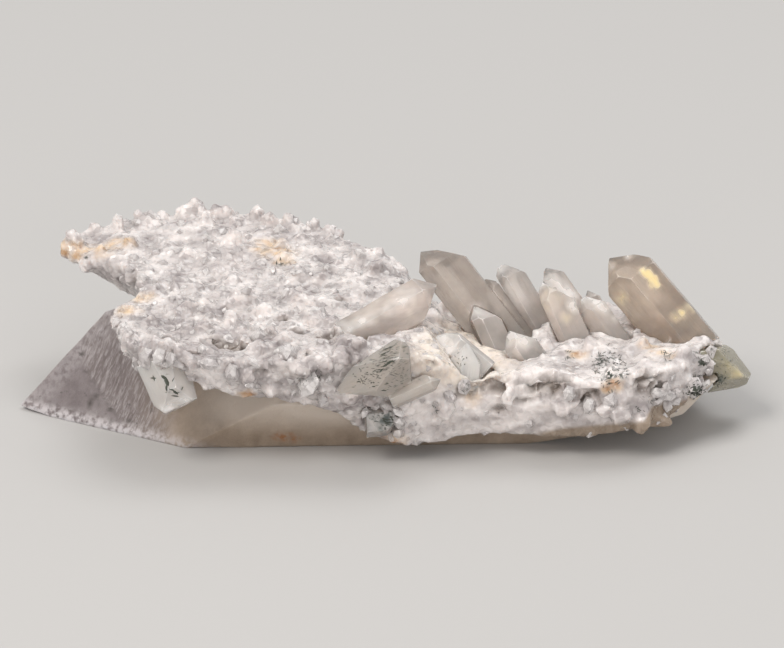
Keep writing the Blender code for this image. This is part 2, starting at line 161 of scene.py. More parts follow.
# Places on the visible side are measured across and down in steps of 0.15 mm,
# seen from 22 degrees above the horizon.
STEP = 0.15
TILT = math.radians(22.0)
UP = Vector((0.0, math.sin(TILT), math.cos(TILT)))
TOWARD = Vector((0.0, -math.cos(TILT), math.sin(TILT)))
FRONT = Vector((-0.116, -16.461, 0.0))
MIDDLE_COLUMN = 384.0
CONTACT_ROW = 445.0


def on_surface(tree, column, row):
    """The nearest point of a solid behind a measured place, and its normal."""
    across = Vector(((column - MIDDLE_COLUMN) * STEP, 0.0, 0.0))
    start = across + UP * ((CONTACT_ROW - row) * STEP) + FRONT
    hit, normal, index, distance = tree.ray_cast(start + TOWARD * 200.0, -TOWARD)
    return hit, normal


def seen_places(points):
    """The measured column and row of points in millimetres."""
    column = (points[:, 0] - FRONT.x) / STEP + MIDDLE_COLUMN
    height = (points[:, 1] - FRONT.y) * UP.y + points[:, 2] * UP.z
    return column, CONTACT_ROW - height / STEP


def smooth_noise(point, size, seed):
    """Noise from -1 to 1 with features of this size in millimetres."""
    return noise.noise(Vector(point) / size + Vector((seed, seed * 1.7, seed * 0.6)))


def refine(bm, longest):
    """Split triangles until no edge is longer than this, in nine rounds at most."""
    bmesh.ops.triangulate(bm, faces=bm.faces[:])
    for turn in range(9):
        long_edges = [edge for edge in bm.edges if edge.calc_length() > longest]
        if not long_edges:
            break
        bmesh.ops.subdivide_edges(bm, edges=long_edges, cuts=1)
        bmesh.ops.triangulate(bm, faces=bm.faces[:])


SHARP = 0.2  # radians between two faces that meet in an edge of the crystal


def soften(bm, width):
    """Worn edges: every sharp edge of a crystal gets a narrow rounded bevel."""
    bmesh.ops.remove_doubles(bm, verts=bm.verts[:], dist=0.005)
    bmesh.ops.dissolve_limit(
        bm, angle_limit=math.radians(1.5), verts=bm.verts[:], edges=bm.edges[:]
    )
    sharp = [edge for edge in bm.edges if edge.is_manifold and edge.calc_face_angle(0.0) > SHARP]
    bmesh.ops.bevel(
        bm, geom=sharp, offset=width, segments=2, profile=0.6, affect="EDGES", clamp_overlap=True
    )


def finish_mesh(name, bm, sharp_degrees):
    """A mesh in metres from a bmesh in millimetres, smooth within this angle."""
    bmesh.ops.recalc_face_normals(bm, faces=bm.faces[:])
    resize(bm, MM)
    mesh = bpy.data.meshes.new(name)
    bm.to_mesh(mesh)
    bm.free()
    mesh.polygons.foreach_set("use_smooth", [True] * len(mesh.polygons))
    mesh.set_sharp_from_angle(angle=math.radians(sharp_degrees))
    return mesh


def mesh_points(mesh):
    """Every vertex of a mesh, in millimetres."""
    co = np.empty(len(mesh.vertices) * 3)
    mesh.vertices.foreach_get("co", co)
    return co.reshape(-1, 3) / MM


def set_values(mesh, name, values):
    """A float value per vertex that the material reads."""
    layer = mesh.attributes.new(name, "FLOAT", "POINT")
    layer.data.foreach_set("value", np.asarray(values, dtype=np.float32))


def set_grain(mesh, axis, stretch):
    """Coordinates in millimetres, drawn out along an axis, for striation marks."""
    points = mesh_points(mesh)
    unit = np.array(axis) / np.linalg.norm(axis)
    drawn = points - np.outer(points @ unit, unit) * (1.0 - stretch)
    layer = mesh.attributes.new("grain", "FLOAT_VECTOR", "POINT")
    layer.data.foreach_set("vector", drawn.astype(np.float32).ravel())


def ramp(values, low, high):
    """A soft step from 0 at low to 1 at high; low may be the larger one."""
    share = np.clip((values - low) / (high - low), 0.0, 1.0)
    return share * share * (3.0 - 2.0 * share)


# Milky quartz with its faces as grown: satin, cloudy and a little see-through, so
# that light comes back from inside it and the colour deepens with its thickness.
base_material, tree, shader, place = new_material("milky grey-brown quartz")

# Milky veils about four millimetres wide, in the brown of the prism and in the
# lilac grey of the pyramid.
veil = mottle(tree, place, 4.35, 8.0, 0.7, 0.35, 0.68)
prism, pyramid = [
    add_node(
        tree, "ShaderNodeMixRGB", {"Fac": veil, "Color1": linear(clear), "Color2": linear(cloudy)}
    ).outputs["Color"]
    for clear, cloudy in (("998674", "BCAA98"), ("776C6C", "9C9292"))
]
lilac = add_node(tree, "ShaderNodeAttribute", attribute_name="lilac").outputs["Fac"]
tint = add_node(
    tree, "ShaderNodeMixRGB", {"Fac": lilac, "Color1": prism, "Color2": pyramid}
).outputs["Color"]

# Growth lines and scratches on the pyramid faces. The real ones are finer; these
# are three to a millimetre so that they show. The grain is in millimetres.
grain = add_node(tree, "ShaderNodeAttribute", attribute_name="grain").outputs["Vector"]
lines = add_node(
    tree, "ShaderNodeTexNoise", {"Vector": grain, "Scale": 3.0, "Detail": 5.0, "Roughness": 0.7}
).outputs["Fac"]
scratches = add_node(
    tree, "ShaderNodeMapRange", {"Value": lines, "From Min": 0.46, "From Max": 0.64, "To Max": 0.6}
).outputs["Result"]

# White crumbs of 0.8 mm along the chipped edge, dark grains of 1.5 mm in the
# pyramid, and iron that has settled between crumbs.
crumbs = mottle(tree, place, 0.77, 3.0, 0.5, 0.36, 0.56)
grains = mottle(tree, place, 1.56, 4.0, 0.7, 0.64, 0.72)
flakes = mottle(tree, place, 0.77, 3.0, 0.5, 0.4, 0.56, 0.25)
# Over the veils lie a painted glow under the crust, painted shade on the lined face, its real
# scratches, the crumbly white edge, dark grains, iron and dark spots.
tint = layered(tree, tint, (
    ("glow", 1.0, "DCCFC2"), ("lined_and_shaded", 0.45, "7A6E69"), ("lined_and_shaded", scratches, "C9C1C2"),
    ("fringe", crumbs, "D9D2D3"), ("lilac", grains, "564F4B"), ("iron", flakes, "A8744C"),
    ("dark", 1.0, "4A423E"),
))
bump = add_node(tree, "ShaderNodeBump", {"Strength": 0.55, "Distance": 0.3 * MM, "Height": lines})
volume = add_node(
    tree, "ShaderNodeVolumeAbsorption", {"Color": linear("C4B4A4"), "Density": 30.0}
)
set_inputs(tree, tree.nodes["Material Output"], {"Volume": volume.outputs["Volume"]})
set_inputs(tree, shader, {
    "Base Color": tint, "Normal": bump.outputs["Normal"], "Roughness": 0.38, "IOR": 1.544,
    "Transmission Weight": 0.22, "Subsurface Weight": 0.5,
    "Subsurface Radius": (1.0, 0.92, 0.84), "Subsurface Scale": 2.0 * MM,
})

whole_tree = cad_tree(*nodes)


def spots_on(tree, places):
    """Measured blotches (column, row, radius in mm, strength) as places on a surface."""
    spots = []
    for column, row, radius, strength in places:
        place, normal = on_surface(tree, column, row)
        if place is not None:
            spots.append((place, radius, strength))
    return spots


def spots_field(points, spots, seed, wide=1.0):
    """How strongly each point lies in one of the blotches, from 0 to 1.

    A blotch is full in its middle and fades to a ragged edge at 1.25 of its radius.
    It is drawn out sideways by the factor wide."""
    value = np.zeros(len(points))
    scale = np.array([1.0 / wide, 1.0, 1.0])
    for centre, radius, strength in spots:
        gap = np.linalg.norm((points - np.array(centre)) * scale, axis=1) / radius
        for index in np.nonzero(gap < 1.25)[0]:
            ragged = 0.65 + 0.8 * smooth_noise(points[index], 1.1, seed)
            amount = (1.25 - gap[index]) * 1.6 * ragged * strength
            value[index] = max(value[index], min(max(amount, 0.0), 1.0))
    return value


BASE_TOP = 0.05  # below this height the crystal keeps the flat face it rests on
bm = cad_mesh("quartz_crystal")
soften(bm, width=0.35)
refine(bm, longest=0.8)
bm.normal_update()
for vertex in bm.verts:
    if vertex.co.z > BASE_TOP:
        wave = smooth_noise(vertex.co, 5.0, 3.0) * 0.16 + smooth_noise(vertex.co, 1.6, 5.0) * 0.07
        vertex.co += vertex.normal * wave
base_mesh = finish_mesh("long_quartz_crystal", bm, sharp_degrees=24.0)
set_grain(base_mesh, axis=(0.3, 0.2, 1.0), stretch=0.06)

# The pyramid is lilac grey. Along the table its lower edge is chipped white, and
# the slope at the far left is pitted in a strip about two millimetres wide.
points = mesh_points(base_mesh)
column, row = seen_places(points)
set_values(base_mesh, "lilac", ramp(column, 190.0, 120.0))
lower_edge = 407.0 + (column - 20.0) * 0.235
chipped = ramp(row, lower_edge - 14.0, lower_edge - 3.0) * ramp(column, 260.0, 120.0)
from_slope = (column - 28.0) * 0.749 + (row - 405.0) * 0.663
pitted = 0.28 * ramp(from_slope, 20.0, 4.0) * ramp(column, 118.0, 108.0)
set_values(base_mesh, "fringe", np.maximum(chipped, pitted))

# Under the crust the prism is lightened with a painted glow, which stands for the light that comes
# down through it.
glow = (0.85 + 0.5 * ramp(column, 270.0, 320.0)) * ramp(row, 436.0, 404.0)
set_values(base_mesh, "glow", np.minimum(glow * ramp(column, 180.0, 240.0), 1.0))

# The edge between the two pyramid faces, from the crust down to the table. The face to the right of
# it is the lined one; besides its real lines it is darkened with painted shade.
EDGE_ROWS = [318.0, 345.0, 366.0, 409.0, 430.0]
EDGE_COLUMNS = [98.0, 80.0, 82.0, 113.0, 128.0]
edge_column = np.interp(row, EDGE_ROWS, EDGE_COLUMNS)
lined_and_shaded = ramp(column, edge_column - 1.0, edge_column + 3.0) * ramp(column, 185.0, 150.0)
set_values(base_mesh, "lined_and_shaded", lined_and_shaded)
IRON_ON_BASE = [(285, 435, 1.0, 0.9), (292, 438, 0.9, 0.8), (392, 438, 2.2, 0.9)]
base_iron = spots_on(whole_tree, IRON_ON_BASE)
set_values(base_mesh, "iron", spots_field(points, base_iron, 9.0, 1.8))

# Darker spots at these places, and a darker line in the lower half of that edge.
DARK_SPOT_PLACES = [
    (82, 354, 0.35, 1.4), (84, 388, 0.25, 1.4), (113, 409, 0.4, 1.4), (129, 404, 0.3, 1.4),
    (132, 421, 0.4, 1.4), (111, 421, 0.35, 1.4), (92, 398, 0.5, 0.8), (96, 396, 0.6, 0.9),
    (90, 405, 0.5, 0.8), (98, 403, 0.4, 0.7),
]
dark_spots = spots_field(points, spots_on(whole_tree, DARK_SPOT_PLACES), 15.0)
in_edge = np.exp(-((column - edge_column) / 1.2) ** 2)
in_edge *= ramp(row, 356.0, 366.0) * ramp(row, 418.0, 410.0)
set_values(base_mesh, "dark", np.maximum(dark_spots, 0.45 * in_edge))
place_piece("long_quartz_crystal", base_mesh, base_material, "base_quartz", "quartz_crystal")


# The drusy crust over the base: milky quartz in thousands of short crystals about
# a millimetre wide, grown into one another and into the mass under them. On the
# left they all lie one way, as they follow the lattice of the quartz below.

IRON_PLACES = [
    (60, 247, 1.6, 0.9), (68, 250, 1.8, 0.8), (78, 250, 1.8, 0.8), (88, 248, 1.8, 0.8),
    (98, 246, 1.8, 0.8), (108, 244, 1.8, 0.85), (118, 242, 1.7, 0.9), (126, 241, 1.2, 0.8),
    (268, 244, 2.0, 0.75), (276, 252, 2.4, 0.8),
    (283, 261, 1.5, 0.7), (258, 247, 1.3, 0.5), (142, 299, 1.9, 0.7), (130, 310, 1.8, 0.7),
    (150, 296, 1.1, 0.5), (248, 393, 1.1, 1.0), (255, 397, 1.5, 1.0), (262, 400, 1.1, 0.9),
    (285, 434, 1.2, 0.9), (575, 355, 1.4, 0.8), (569, 352, 0.9, 0.6), (648, 346, 1.6, 0.7),
    (658, 352, 1.6, 0.7), (667, 356, 1.1, 0.5), (609, 384, 1.3, 1.0), (603, 388, 0.9, 0.9),
    (462, 352, 1.2, 0.5), (455, 357, 1.0, 0.4), (470, 398, 1.4, 0.4), (379, 437, 1.3, 0.8),
    (395, 438, 1.6, 0.7),
]
RUST_PLACES = [
    (59, 252, 0.9, 0.8), (72, 255, 0.6, 0.5), (250, 393, 0.8, 1.0), (258, 397, 1.0, 1.0),
    (264, 400, 0.6, 0.9), (287, 436, 0.8, 0.9), (575, 354, 0.6, 0.7), (609, 382, 0.8, 1.0),
    (602, 387, 0.6, 0.9), (375, 437, 0.9, 0.8), (390, 439, 1.1, 0.8), (276, 248, 0.5, 0.4),
]
GREEN_PLACES = [
    (598, 362, 1.3, 0.9), (612, 365, 1.4, 0.9), (606, 374, 1.4, 0.9), (616, 374, 0.9, 0.7),
    (693, 352, 0.5, 0.9), (698, 361, 0.7, 1.1), (693, 392, 1.0, 1.8), (700, 395, 1.0, 1.8),
    (709, 350, 0.4, 0.9), (311, 378, 0.9, 0.4), (662, 355, 0.6, 0.5), (566, 357, 0.4, 0.7),
    (279, 264, 0.35, 0.9), (284, 265, 0.3, 0.9), (83, 257, 0.35, 0.9),
]
# Hollows between the crystals. They are pushed in, and painted shade darkens them brown-grey.
HOLLOWS = [
    (172, 338, 0.9, 1.0), (219, 339, 1.2, 0.8), (232, 343, 1.3, 1.0), (246, 347, 1.0, 0.8),
    (283, 319, 0.6, 1.0), (270, 333, 0.6, 0.7), (300, 331, 0.8, 0.9), (328, 335, 1.1, 1.0),
    (345, 341, 0.9, 0.8), (310, 352, 0.7, 0.7), (199, 352, 0.6, 0.6), (357, 318, 0.7, 0.7),
    (360, 337, 0.8, 0.8), (292, 357, 0.6, 0.6), (262, 372, 0.7, 0.6), (341, 300, 0.6, 0.5),
    (433, 362, 0.8, 0.5), (470, 388, 1.4, 0.7), (541, 384, 2.0, 1.0), (556, 378, 1.2, 0.8),
    (584, 396, 1.3, 0.9), (646, 381, 2.0, 1.0), (655, 390, 1.4, 0.9), (497, 409, 0.9, 0.5),
    (521, 399, 0.9, 0.5), (497, 385, 1.3, 0.9),
]


def facets(tree, place, size):
    """Flat facets of this size in mm: their height in metres and their shade.

    Each has a tilt and a shade of its own."""
    cells = add_node(
        tree, "ShaderNodeTexVoronoi", {"Vector": place, "Scale": 1.0 / (size * MM)}
    ).outputs
    offset, slope = [
        add_node(
            tree, "ShaderNodeVectorMath", {0: first, 1: second}, operation="SUBTRACT"
        ).outputs["Vector"]
        for first, second in ((place, cells["Position"]), (cells["Color"], (0.5, 0.5, 0.5)))
    ]
    height = add_node(
        tree, "ShaderNodeVectorMath", {0: offset, 1: slope}, operation="DOT_PRODUCT"
    ).outputs["Value"]
    shade = add_node(tree, "ShaderNodeSeparateXYZ", {"Vector": cells["Color"]}).outputs["X"]
    return height, shade


def druse_material(name, bright, shaded, transmission, milk):
    """Quartz in small faces, 1.3 mm and 0.7 mm wide, that glint one by one.

    Bright and shaded are its whitest and its greyest colour."""
    material, tree, shader, place = new_material(name)
    coarse_height, coarse_shade = facets(tree, place, 1.3)
    fine_height, fine_shade = facets(tree, place, 0.714)
    clouds = mottle(tree, place, 1.11, 4.0, 0.6, 0.0, 1.0)
    shade = coarse_shade
    for other in (fine_shade, clouds):
        shade = add_node(
            tree, "ShaderNodeMath", {0: shade, 1: other}, operation="ADD"
        ).outputs["Value"]
    shade = add_node(
        tree, "ShaderNodeMapRange",
        {"Value": shade, "From Min": 0.3, "From Max": 2.7, "To Min": -0.38, "To Max": 0.38},
    ).outputs["Result"]

    # Compact quartz is more even than the grains.
    tone, compact = [
        add_node(tree, "ShaderNodeAttribute", attribute_name=mark).outputs["Fac"]
        for mark in ("tone", "compact")
    ]
    grainy = add_node(
        tree, "ShaderNodeMapRange", {"Value": compact, "To Min": 1.0, "To Max": 0.65}
    ).outputs["Result"]
    tone = add_node(
        tree, "ShaderNodeMath", {0: shade, 1: grainy, 2: tone},
        operation="MULTIPLY_ADD", use_clamp=True,
    ).outputs["Value"]
    colour = add_node(
        tree, "ShaderNodeMixRGB", {"Fac": tone, "Color1": linear(shaded), "Color2": linear(bright)}
    ).outputs["Color"]

    # Stains lie on it in flecks, and the green needles in specks. The hollows get painted shade.
    fleck = mottle(tree, place, 1.11, 4.0, 0.6, 0.3, 0.6, 0.35)
    speck = mottle(tree, place, 0.588, 2.0, 0.5, 0.44, 0.54)
    colour = layered(tree, colour, (
        ("warm", fleck, "EBDDCD"), ("shaded_hollow", 1.0, "867A71"), ("bare", 1.0, "94826F"),
        ("iron", fleck, "E3C49E"), ("rust", fleck, "A87848"), ("green", speck, "40463D"),
    ))
    height = add_node(
        tree, "ShaderNodeMath", {0: coarse_height, 1: fine_height}, operation="ADD"
    ).outputs["Value"]
    # The height is in metres already, and 0.7 of it is kept.
    bump = add_node(tree, "ShaderNodeBump", {"Strength": grainy, "Distance": 0.7, "Height": height})
    gloss = add_node(
        tree, "ShaderNodeMapRange", {"Value": fine_shade, "To Min": 0.06, "To Max": 0.4}
    ).outputs["Result"]
    set_inputs(tree, shader, {
        "Base Color": colour, "Normal": bump.outputs["Normal"], "Roughness": gloss, "IOR": 1.544,
        "Transmission Weight": transmission, "Subsurface Weight": milk,
        "Subsurface Radius": (1.0, 0.92, 0.88), "Subsurface Scale": 1.2 * MM,
    })
    return material


# Milky quartz like lump sugar: white, because light comes back from just under the
# surface, and every facet has a dull or a glassy glint.
crust_material = druse_material("sugary white quartz", "EAE3E0", "ABA3A2", 0.0, 0.8)


def remeshed(mesh, voxel):
    """One closed skin around everything in a mesh, as a bmesh in millimetres."""
    holder = add_object("holder", mesh)
    remesh = holder.modifiers.new("even", "REMESH")
    remesh.mode = "VOXEL"
    remesh.voxel_size = voxel * MM
    even = holder.evaluated_get(bpy.context.evaluated_depsgraph_get())
    bm = bmesh.new()
    bm.from_mesh(even.to_mesh())
    bpy.data.objects.remove(holder)
    resize(bm, 1.0 / MM)
    bm.normal_update()
    return bm


bm = remeshed(nodes["drusy_crust"].data.copy(), voxel=0.6)
for vertex in bm.verts:
    drawn = Vector((vertex.co.x * 0.8, vertex.co.y * 0.7, vertex.co.z))
    lumps = smooth_noise(vertex.co, 3.2, 11.0) * 0.25 + smooth_noise(drawn, 1.0, 13.0) * 0.15
    vertex.co += vertex.normal * (lumps - 0.1)
crust_mesh = finish_mesh("crust_under_druse", bm, sharp_degrees=30.0)
crust_tree = mesh_tree(crust_mesh)

rng = np.random.default_rng(7)


def scatter(mesh, spacing_of, keep, count_per_mm2):
    """Points spread over a mesh, no two closer than their spacing allows.

    Those kept so far are looked up in a grid with cells of one millimetre."""
    mesh.calc_loop_triangles()
    count = len(mesh.loop_triangles)
    corners = np.empty(count * 3, dtype=np.int32)
    mesh.loop_triangles.foreach_get("vertices", corners)
    corners = corners.reshape(-1, 3)
    places = mesh_points(mesh)
    first, second, third = [places[corners[:, index]] for index in range(3)]
    cross = np.cross(second - first, third - first)
    area = 0.5 * np.linalg.norm(cross, axis=1)
    total = int(area.sum() * count_per_mm2)
    chosen = rng.choice(count, size=total, p=area / area.sum())
    away = np.sqrt(rng.random(total))[:, None]
    across = rng.random(total)[:, None]
    spots = (1 - away) * first[chosen] + away * (1 - across) * second[chosen]
    spots += away * across * third[chosen]
    length = np.linalg.norm(cross, axis=1)[chosen][:, None]
    normals = cross[chosen] / np.maximum(length, 1e-9)
    grid = {}
    feet, ways, sizes = [], [], []
    for spot, normal in zip(spots, normals):
        size = spacing_of(spot, normal)
        if size <= 0.0 or not keep(spot, normal):
            continue
        key = tuple(int(value // 1.0) for value in spot)
        reach = range(-int(size) - 1, int(size) + 2)
        cells = ((key[0] + i, key[1] + j, key[2] + k) for i in reach for j in reach for k in reach)
        near = (other for cell in cells for other in grid.get(cell, ()))
        if any(
            (spot[0] - x) ** 2 + (spot[1] - y) ** 2 + (spot[2] - z) ** 2
            < 0.25 * (size + gap) ** 2
            for x, y, z, gap in near
        ):
            continue
        grid.setdefault(key, []).append((spot[0], spot[1], spot[2], size))
        feet.append(spot)
        ways.append(normal)
        sizes.append(size)
    return np.array(feet), np.array(ways), np.array(sizes)


SIDES = 6
TIP = 2 * SIDES  # the number of the last corner, after the foot ring and the upper ring
CORNERS = TIP + 1
FOOT_SHARE = 0.7  # width of the foot to that of the upper ring


def crystal_cloud(name, feet, axis, turn, radii, lengths):
    """Closed six-sided crystals with unequal pyramids, all in one mesh.

    Each is a little flat one way, and its tip stands off the middle."""
    count = len(feet)
    axis = axis / np.linalg.norm(axis, axis=1)[:, None]
    helper = np.where(np.abs(axis[:, 1:2]) < 0.9, [[0.0, 1.0, 0.0]], [[1.0, 0.0, 0.0]])
    side = np.cross(axis, helper)
    side /= np.linalg.norm(side, axis=1)[:, None]
    third = np.cross(axis, side)
    flat = 1.0 + rng.uniform(-0.28, 0.28, count)
    shift = rng.uniform(-0.4, 0.4, (count, 2))
    verts = np.empty((count, CORNERS, 3))
    for ring in (0, SIDES):
        for index in range(SIDES):
            angle = turn + index * math.tau / SIDES
            x = np.cos(angle) * radii * flat
            y = np.sin(angle) * radii / flat
            if ring:
                slope = shift[:, 0] * np.cos(angle) + shift[:, 1] * np.sin(angle)
                z = 0.5 * lengths - radii * (0.8 + slope)
            else:
                z = -0.5 * lengths
                x *= FOOT_SHARE
                y *= FOOT_SHARE
            verts[:, ring + index] = (
                feet + side * x[:, None] + third * y[:, None] + axis * z[:, None]
            )
    tip = shift * radii[:, None]
    verts[:, TIP] = (
        feet + side * tip[:, :1] + third * tip[:, 1:] + axis * (0.5 * lengths)[:, None]
    )
    pattern = [(5, 4, 3, 2, 1, 0)]
    for index in range(SIDES):
        following = (index + 1) % SIDES
        pattern.append((index, following, SIDES + following, SIDES + index))
        pattern.append((SIDES + index, SIDES + following, TIP))
    faces = []
    for start in range(0, count * CORNERS, CORNERS):
        for corner in pattern:
            faces.append([start + value for value in corner])
    mesh = bpy.data.meshes.new(name)
    mesh.from_pydata((verts.reshape(-1, 3) * MM).tolist(), [], faces)
    mesh.update()
    return mesh


large_names = [name for name in nodes if name not in ("drusy_crust", "quartz_crystal")]
large_tree = cad_tree(*large_names)
base_tree = cad_tree("quartz_crystal")


FROM_CRYSTALS = 0.34
FROM_BASE = 0.8


def clear_of_crystals(spot, normal):
    """Not inside or against a large crystal, nor between the crust and the base."""
    place = Vector(spot)
    near, face, index, distance = large_tree.find_nearest(place)
    if distance < FROM_CRYSTALS:
        return False
    near, face, index, distance = base_tree.find_nearest(place)
    return distance > FROM_BASE


def fine_spacing(spot, normal):
    """Fine grains, finest on the right and a little coarser underneath."""
    grain = 0.85 if spot[0] < 6.0 else 0.72
    return grain + 0.2 * smooth_noise(spot, 4.0, 31.0) + (0.5 if normal[2] < -0.2 else 0.0)


def coarse_spacing(spot, normal):
    """Coarser crystals, most of them in the front half of the left field."""
    if normal[2] < -0.4 or spot[0] < -42.0:
        return 0.0
    if spot[0] < 8.0:
        return 2.2 if spot[1] < 4.0 else 3.2
    return 0.0


def broad_spacing(spot, normal):
    """Crystals of three or four millimetres in the front half of the left field."""
    if normal[2] < -0.3 or spot[0] < -38.0 or spot[0] > 4.0 or spot[1] > 6.0:
        return 0.0
    return 4.2


# On the left the crystals lie to the left, a little raised. On the right they
# stand at random.
HEADING = np.array([-0.95, -0.1, 0.3])


def grow_druse(spacing, density, size_share, stretch, raised, sunk, spread, widest=9.0):
    """Where the crystals of one generation stand, how they lie and their size."""
    feet, ways, sizes = scatter(crust_mesh, spacing, clear_of_crystals, density)
    count = len(feet)
    along = HEADING - ways * (ways @ HEADING)[:, None]
    loose = np.clip((feet[:, 0] - 2.0) / 12.0, 0.0, 1.0)[:, None]
    lift = rng.uniform(*raised, count)[:, None] + 0.5 * loose
    axis = along + ways * lift + rng.normal(0.0, 1.0, (count, 3)) * (spread + 0.4 * loose)
    turn = 0.4 + rng.normal(0.0, 0.22, count)
    radii = size_share * np.minimum(sizes, widest) * rng.uniform(0.65, 1.2, count)
    lengths = radii * rng.uniform(*stretch, count)
    gaps = np.array([large_tree.find_nearest(Vector(foot))[3] for foot in feet])
    depth = radii * (sunk + 0.35 * loose[:, 0]) + 0.25 * ramp(gaps, 2.6, 0.6)
    return feet - ways * depth[:, None], axis, turn, radii, lengths


# Teeth on the back ridge and broad crystals in the field: column, row, radius and
# length in mm, and the way each one points.
TEETH = [
    (114, 222, 1.0, 3.4, (-0.2, 0.2, 1.0)), (134, 217, 1.0, 3.4, (-0.1, 0.2, 1.0)),
    (181, 213, 1.4, 3.8, (-0.2, 0.3, 1.0)), (214, 213, 1.4, 4.2, (-0.3, 0.2, 1.0)),
    (221, 214, 1.2, 4.0, (0.2, 0.2, 1.0)), (254, 215, 1.5, 4.2, (0.1, 0.3, 1.0)),
    (287, 221, 1.0, 3.6, (-0.2, 0.2, 1.0)), (313, 225, 1.0, 3.2, (0.1, 0.2, 1.0)),
    (338, 236, 1.0, 3.2, (0.3, 0.2, 1.0)), (158, 216, 0.9, 3.0, (-0.3, 0.1, 1.0)),
    (70, 236, 1.3, 3.4, (-0.8, 0.3, 0.6)), (90, 229, 1.0, 3.0, (-0.4, 0.3, 0.9)),
    (315, 322, 2.6, 4.4, (-0.5, -0.6, 0.6)), (262, 350, 2.0, 4.2, (-0.6, -0.5, 0.5)),
    (300, 300, 1.6, 3.4, (-0.6, -0.3, 0.7)), (235, 322, 1.8, 3.6, (-0.6, -0.4, 0.6)),
    (206, 330, 1.5, 3.4, (-0.6, -0.4, 0.6)), (284, 342, 1.7, 3.8, (-0.7, -0.4, 0.4)),
    (345, 355, 1.8, 4.0, (-0.6, -0.6, 0.5)), (330, 365, 1.5, 3.8, (-0.5, -0.8, 0.3)),
    (252, 376, 1.5, 3.6, (-0.4, -0.9, 0.1)), (275, 388, 1.3, 3.4, (-0.2, -0.9, -0.2)),
    (505, 392, 1.6, 3.6, (0.2, -0.9, 0.2)), (445, 405, 1.8, 4.0, (-0.3, -0.9, 0.1)),
    (560, 408, 1.4, 3.2, (0.3, -0.9, -0.1)), (616, 412, 2.0, 4.2, (0.5, -0.8, -0.2)),
    (636, 417, 1.9, 4.8, (0.7, -0.7, -0.3)), (600, 406, 1.6, 4.0, (0.4, -0.8, 0.1)),
    (700, 330, 1.2, 3.2, (0.5, 0.1, 0.9)), (694, 318, 1.1, 3.0, (0.3, 0.3, 1.0)),
    (640, 345, 1.3, 3.0, (0.2, -0.5, 0.8)), (545, 347, 1.4, 3.2, (-0.3, -0.4, 0.8)),
    (148, 347, 1.2, 3.0, (-0.5, -0.7, -0.4)), (160, 346, 1.3, 3.0, (-0.1, -0.9, -0.4)),
    (173, 348, 1.3, 3.2, (0.1, -0.9, -0.4)), (186, 353, 1.3, 3.2, (0.3, -0.8, -0.5)),
    (196, 362, 1.2, 3.0, (0.3, -0.8, -0.5)), (352, 397, 1.3, 3.0, (-0.2, -0.9, -0.3)),
    (372, 399, 1.2, 2.8, (0.1, -0.9, -0.3)), (404, 398, 1.3, 3.0, (0.2, -0.9, 0.0)),
    (333, 325, 1.6, 3.6, (-0.6, -0.3, 0.7)), (338, 336, 1.9, 4.0, (-0.4, -0.6, 0.7)),
    (348, 342, 1.6, 3.6, (-0.2, -0.7, 0.7)), (360, 344, 1.3, 3.2, (0.0, -0.7, 0.7)),
    (588, 343, 1.3, 3.0, (0.2, -0.4, 0.9)), (430, 318, 1.6, 3.6, (-0.7, -0.4, 0.5)),
]
feet, axes, radii, lengths = [], [], [], []
for column, row, radius, length, way in TEETH:
    foot, normal = on_surface(crust_tree, column, row)
    if foot is not None:
        feet.append(foot)
        axes.append(way)
        radii.append(radius)
        lengths.append(length)
turns = np.full(len(feet), 0.4)
teeth = (np.array(feet), np.array(axes), turns, np.array(radii), np.array(lengths))

# The three generations: how many are tried per square millimetre, their radius as
# a share of the spacing, their length in radii, how far they are raised, how deep
# they are sunk, and how loosely they point.
grown = bmesh.new()
grown.from_mesh(crust_mesh)
for spacing, *habit in (
    (fine_spacing, 5.0, 0.6, (1.8, 3.0), (0.5, 1.0), 0.5, 0.25),
    (coarse_spacing, 1.0, 0.4, (1.8, 3.0), (0.3, 0.8), 0.7, 0.2),
    (broad_spacing, 0.6, 0.36, (1.8, 2.8), (0.2, 0.7), 0.75, 0.25),
):
    grown.from_mesh(crystal_cloud("generation", *grow_druse(spacing, *habit)))
grown.from_mesh(crystal_cloud("teeth", *teeth))
together = bpy.data.meshes.new("grown_together")
grown.to_mesh(together)
grown.free()
# Both voxels keep the skin under its limit of triangles.
bm = remeshed(together, voxel=0.39)
HOLLOW_DEPTH = 1.5
points = np.array([vertex.co[:] for vertex in bm.verts])
shaded_hollow = spots_field(points, spots_on(crust_tree, HOLLOWS), 27.0, 1.9)
for vertex, share in zip(bm.verts, shaded_hollow):
    if share > 0.0:
        vertex.co -= vertex.normal * (HOLLOW_DEPTH * share)
skin = finish_mesh("drusy_crust_skin", bm, sharp_degrees=25.0)
points = mesh_points(skin)

# Where the druse is clear grey rather than milky white, and where it is creamy.
column, row = seen_places(points)
drawn = points * np.array([0.8, 0.7, 1.0])
fine_grey = np.array([smooth_noise(point, 0.9, 17.0) for point in drawn])
broad_grey = np.array([smooth_noise(point, 2.6, 41.0) for point in drawn])
bands = np.array([
    smooth_noise((across / 26.0, down / 9.0, 0.0), 1.0, 43.0)
    for across, down in zip(column, row)
])
left_field = ramp(column, 440.0, 380.0)
front_field = ramp(row, 290.0, 335.0) * left_field
tone = 0.8 + 0.2 * fine_grey + (0.35 + 0.45 * front_field) * broad_grey + 0.7 * bands
tone -= 0.2 * (front_field + left_field)
right_grey = 0.1 + 0.3 * np.maximum(broad_grey, 0.0) + 0.12 * ramp(row, 380.0, 400.0)
tone -= ramp(column, 500.0, 560.0) * right_grey
set_values(skin, "tone", np.clip(tone, 0.0, 1.0))
set_values(skin, "compact", 1.0 - left_field)
creamy = ramp(np.hypot((column - 460.0) / 1.5, row - 355.0), 48.0, 20.0)
set_values(skin, "warm", 0.8 * creamy)
# Painted shade in the pushed-in hollows.
set_values(skin, "shaded_hollow", shaded_hollow)

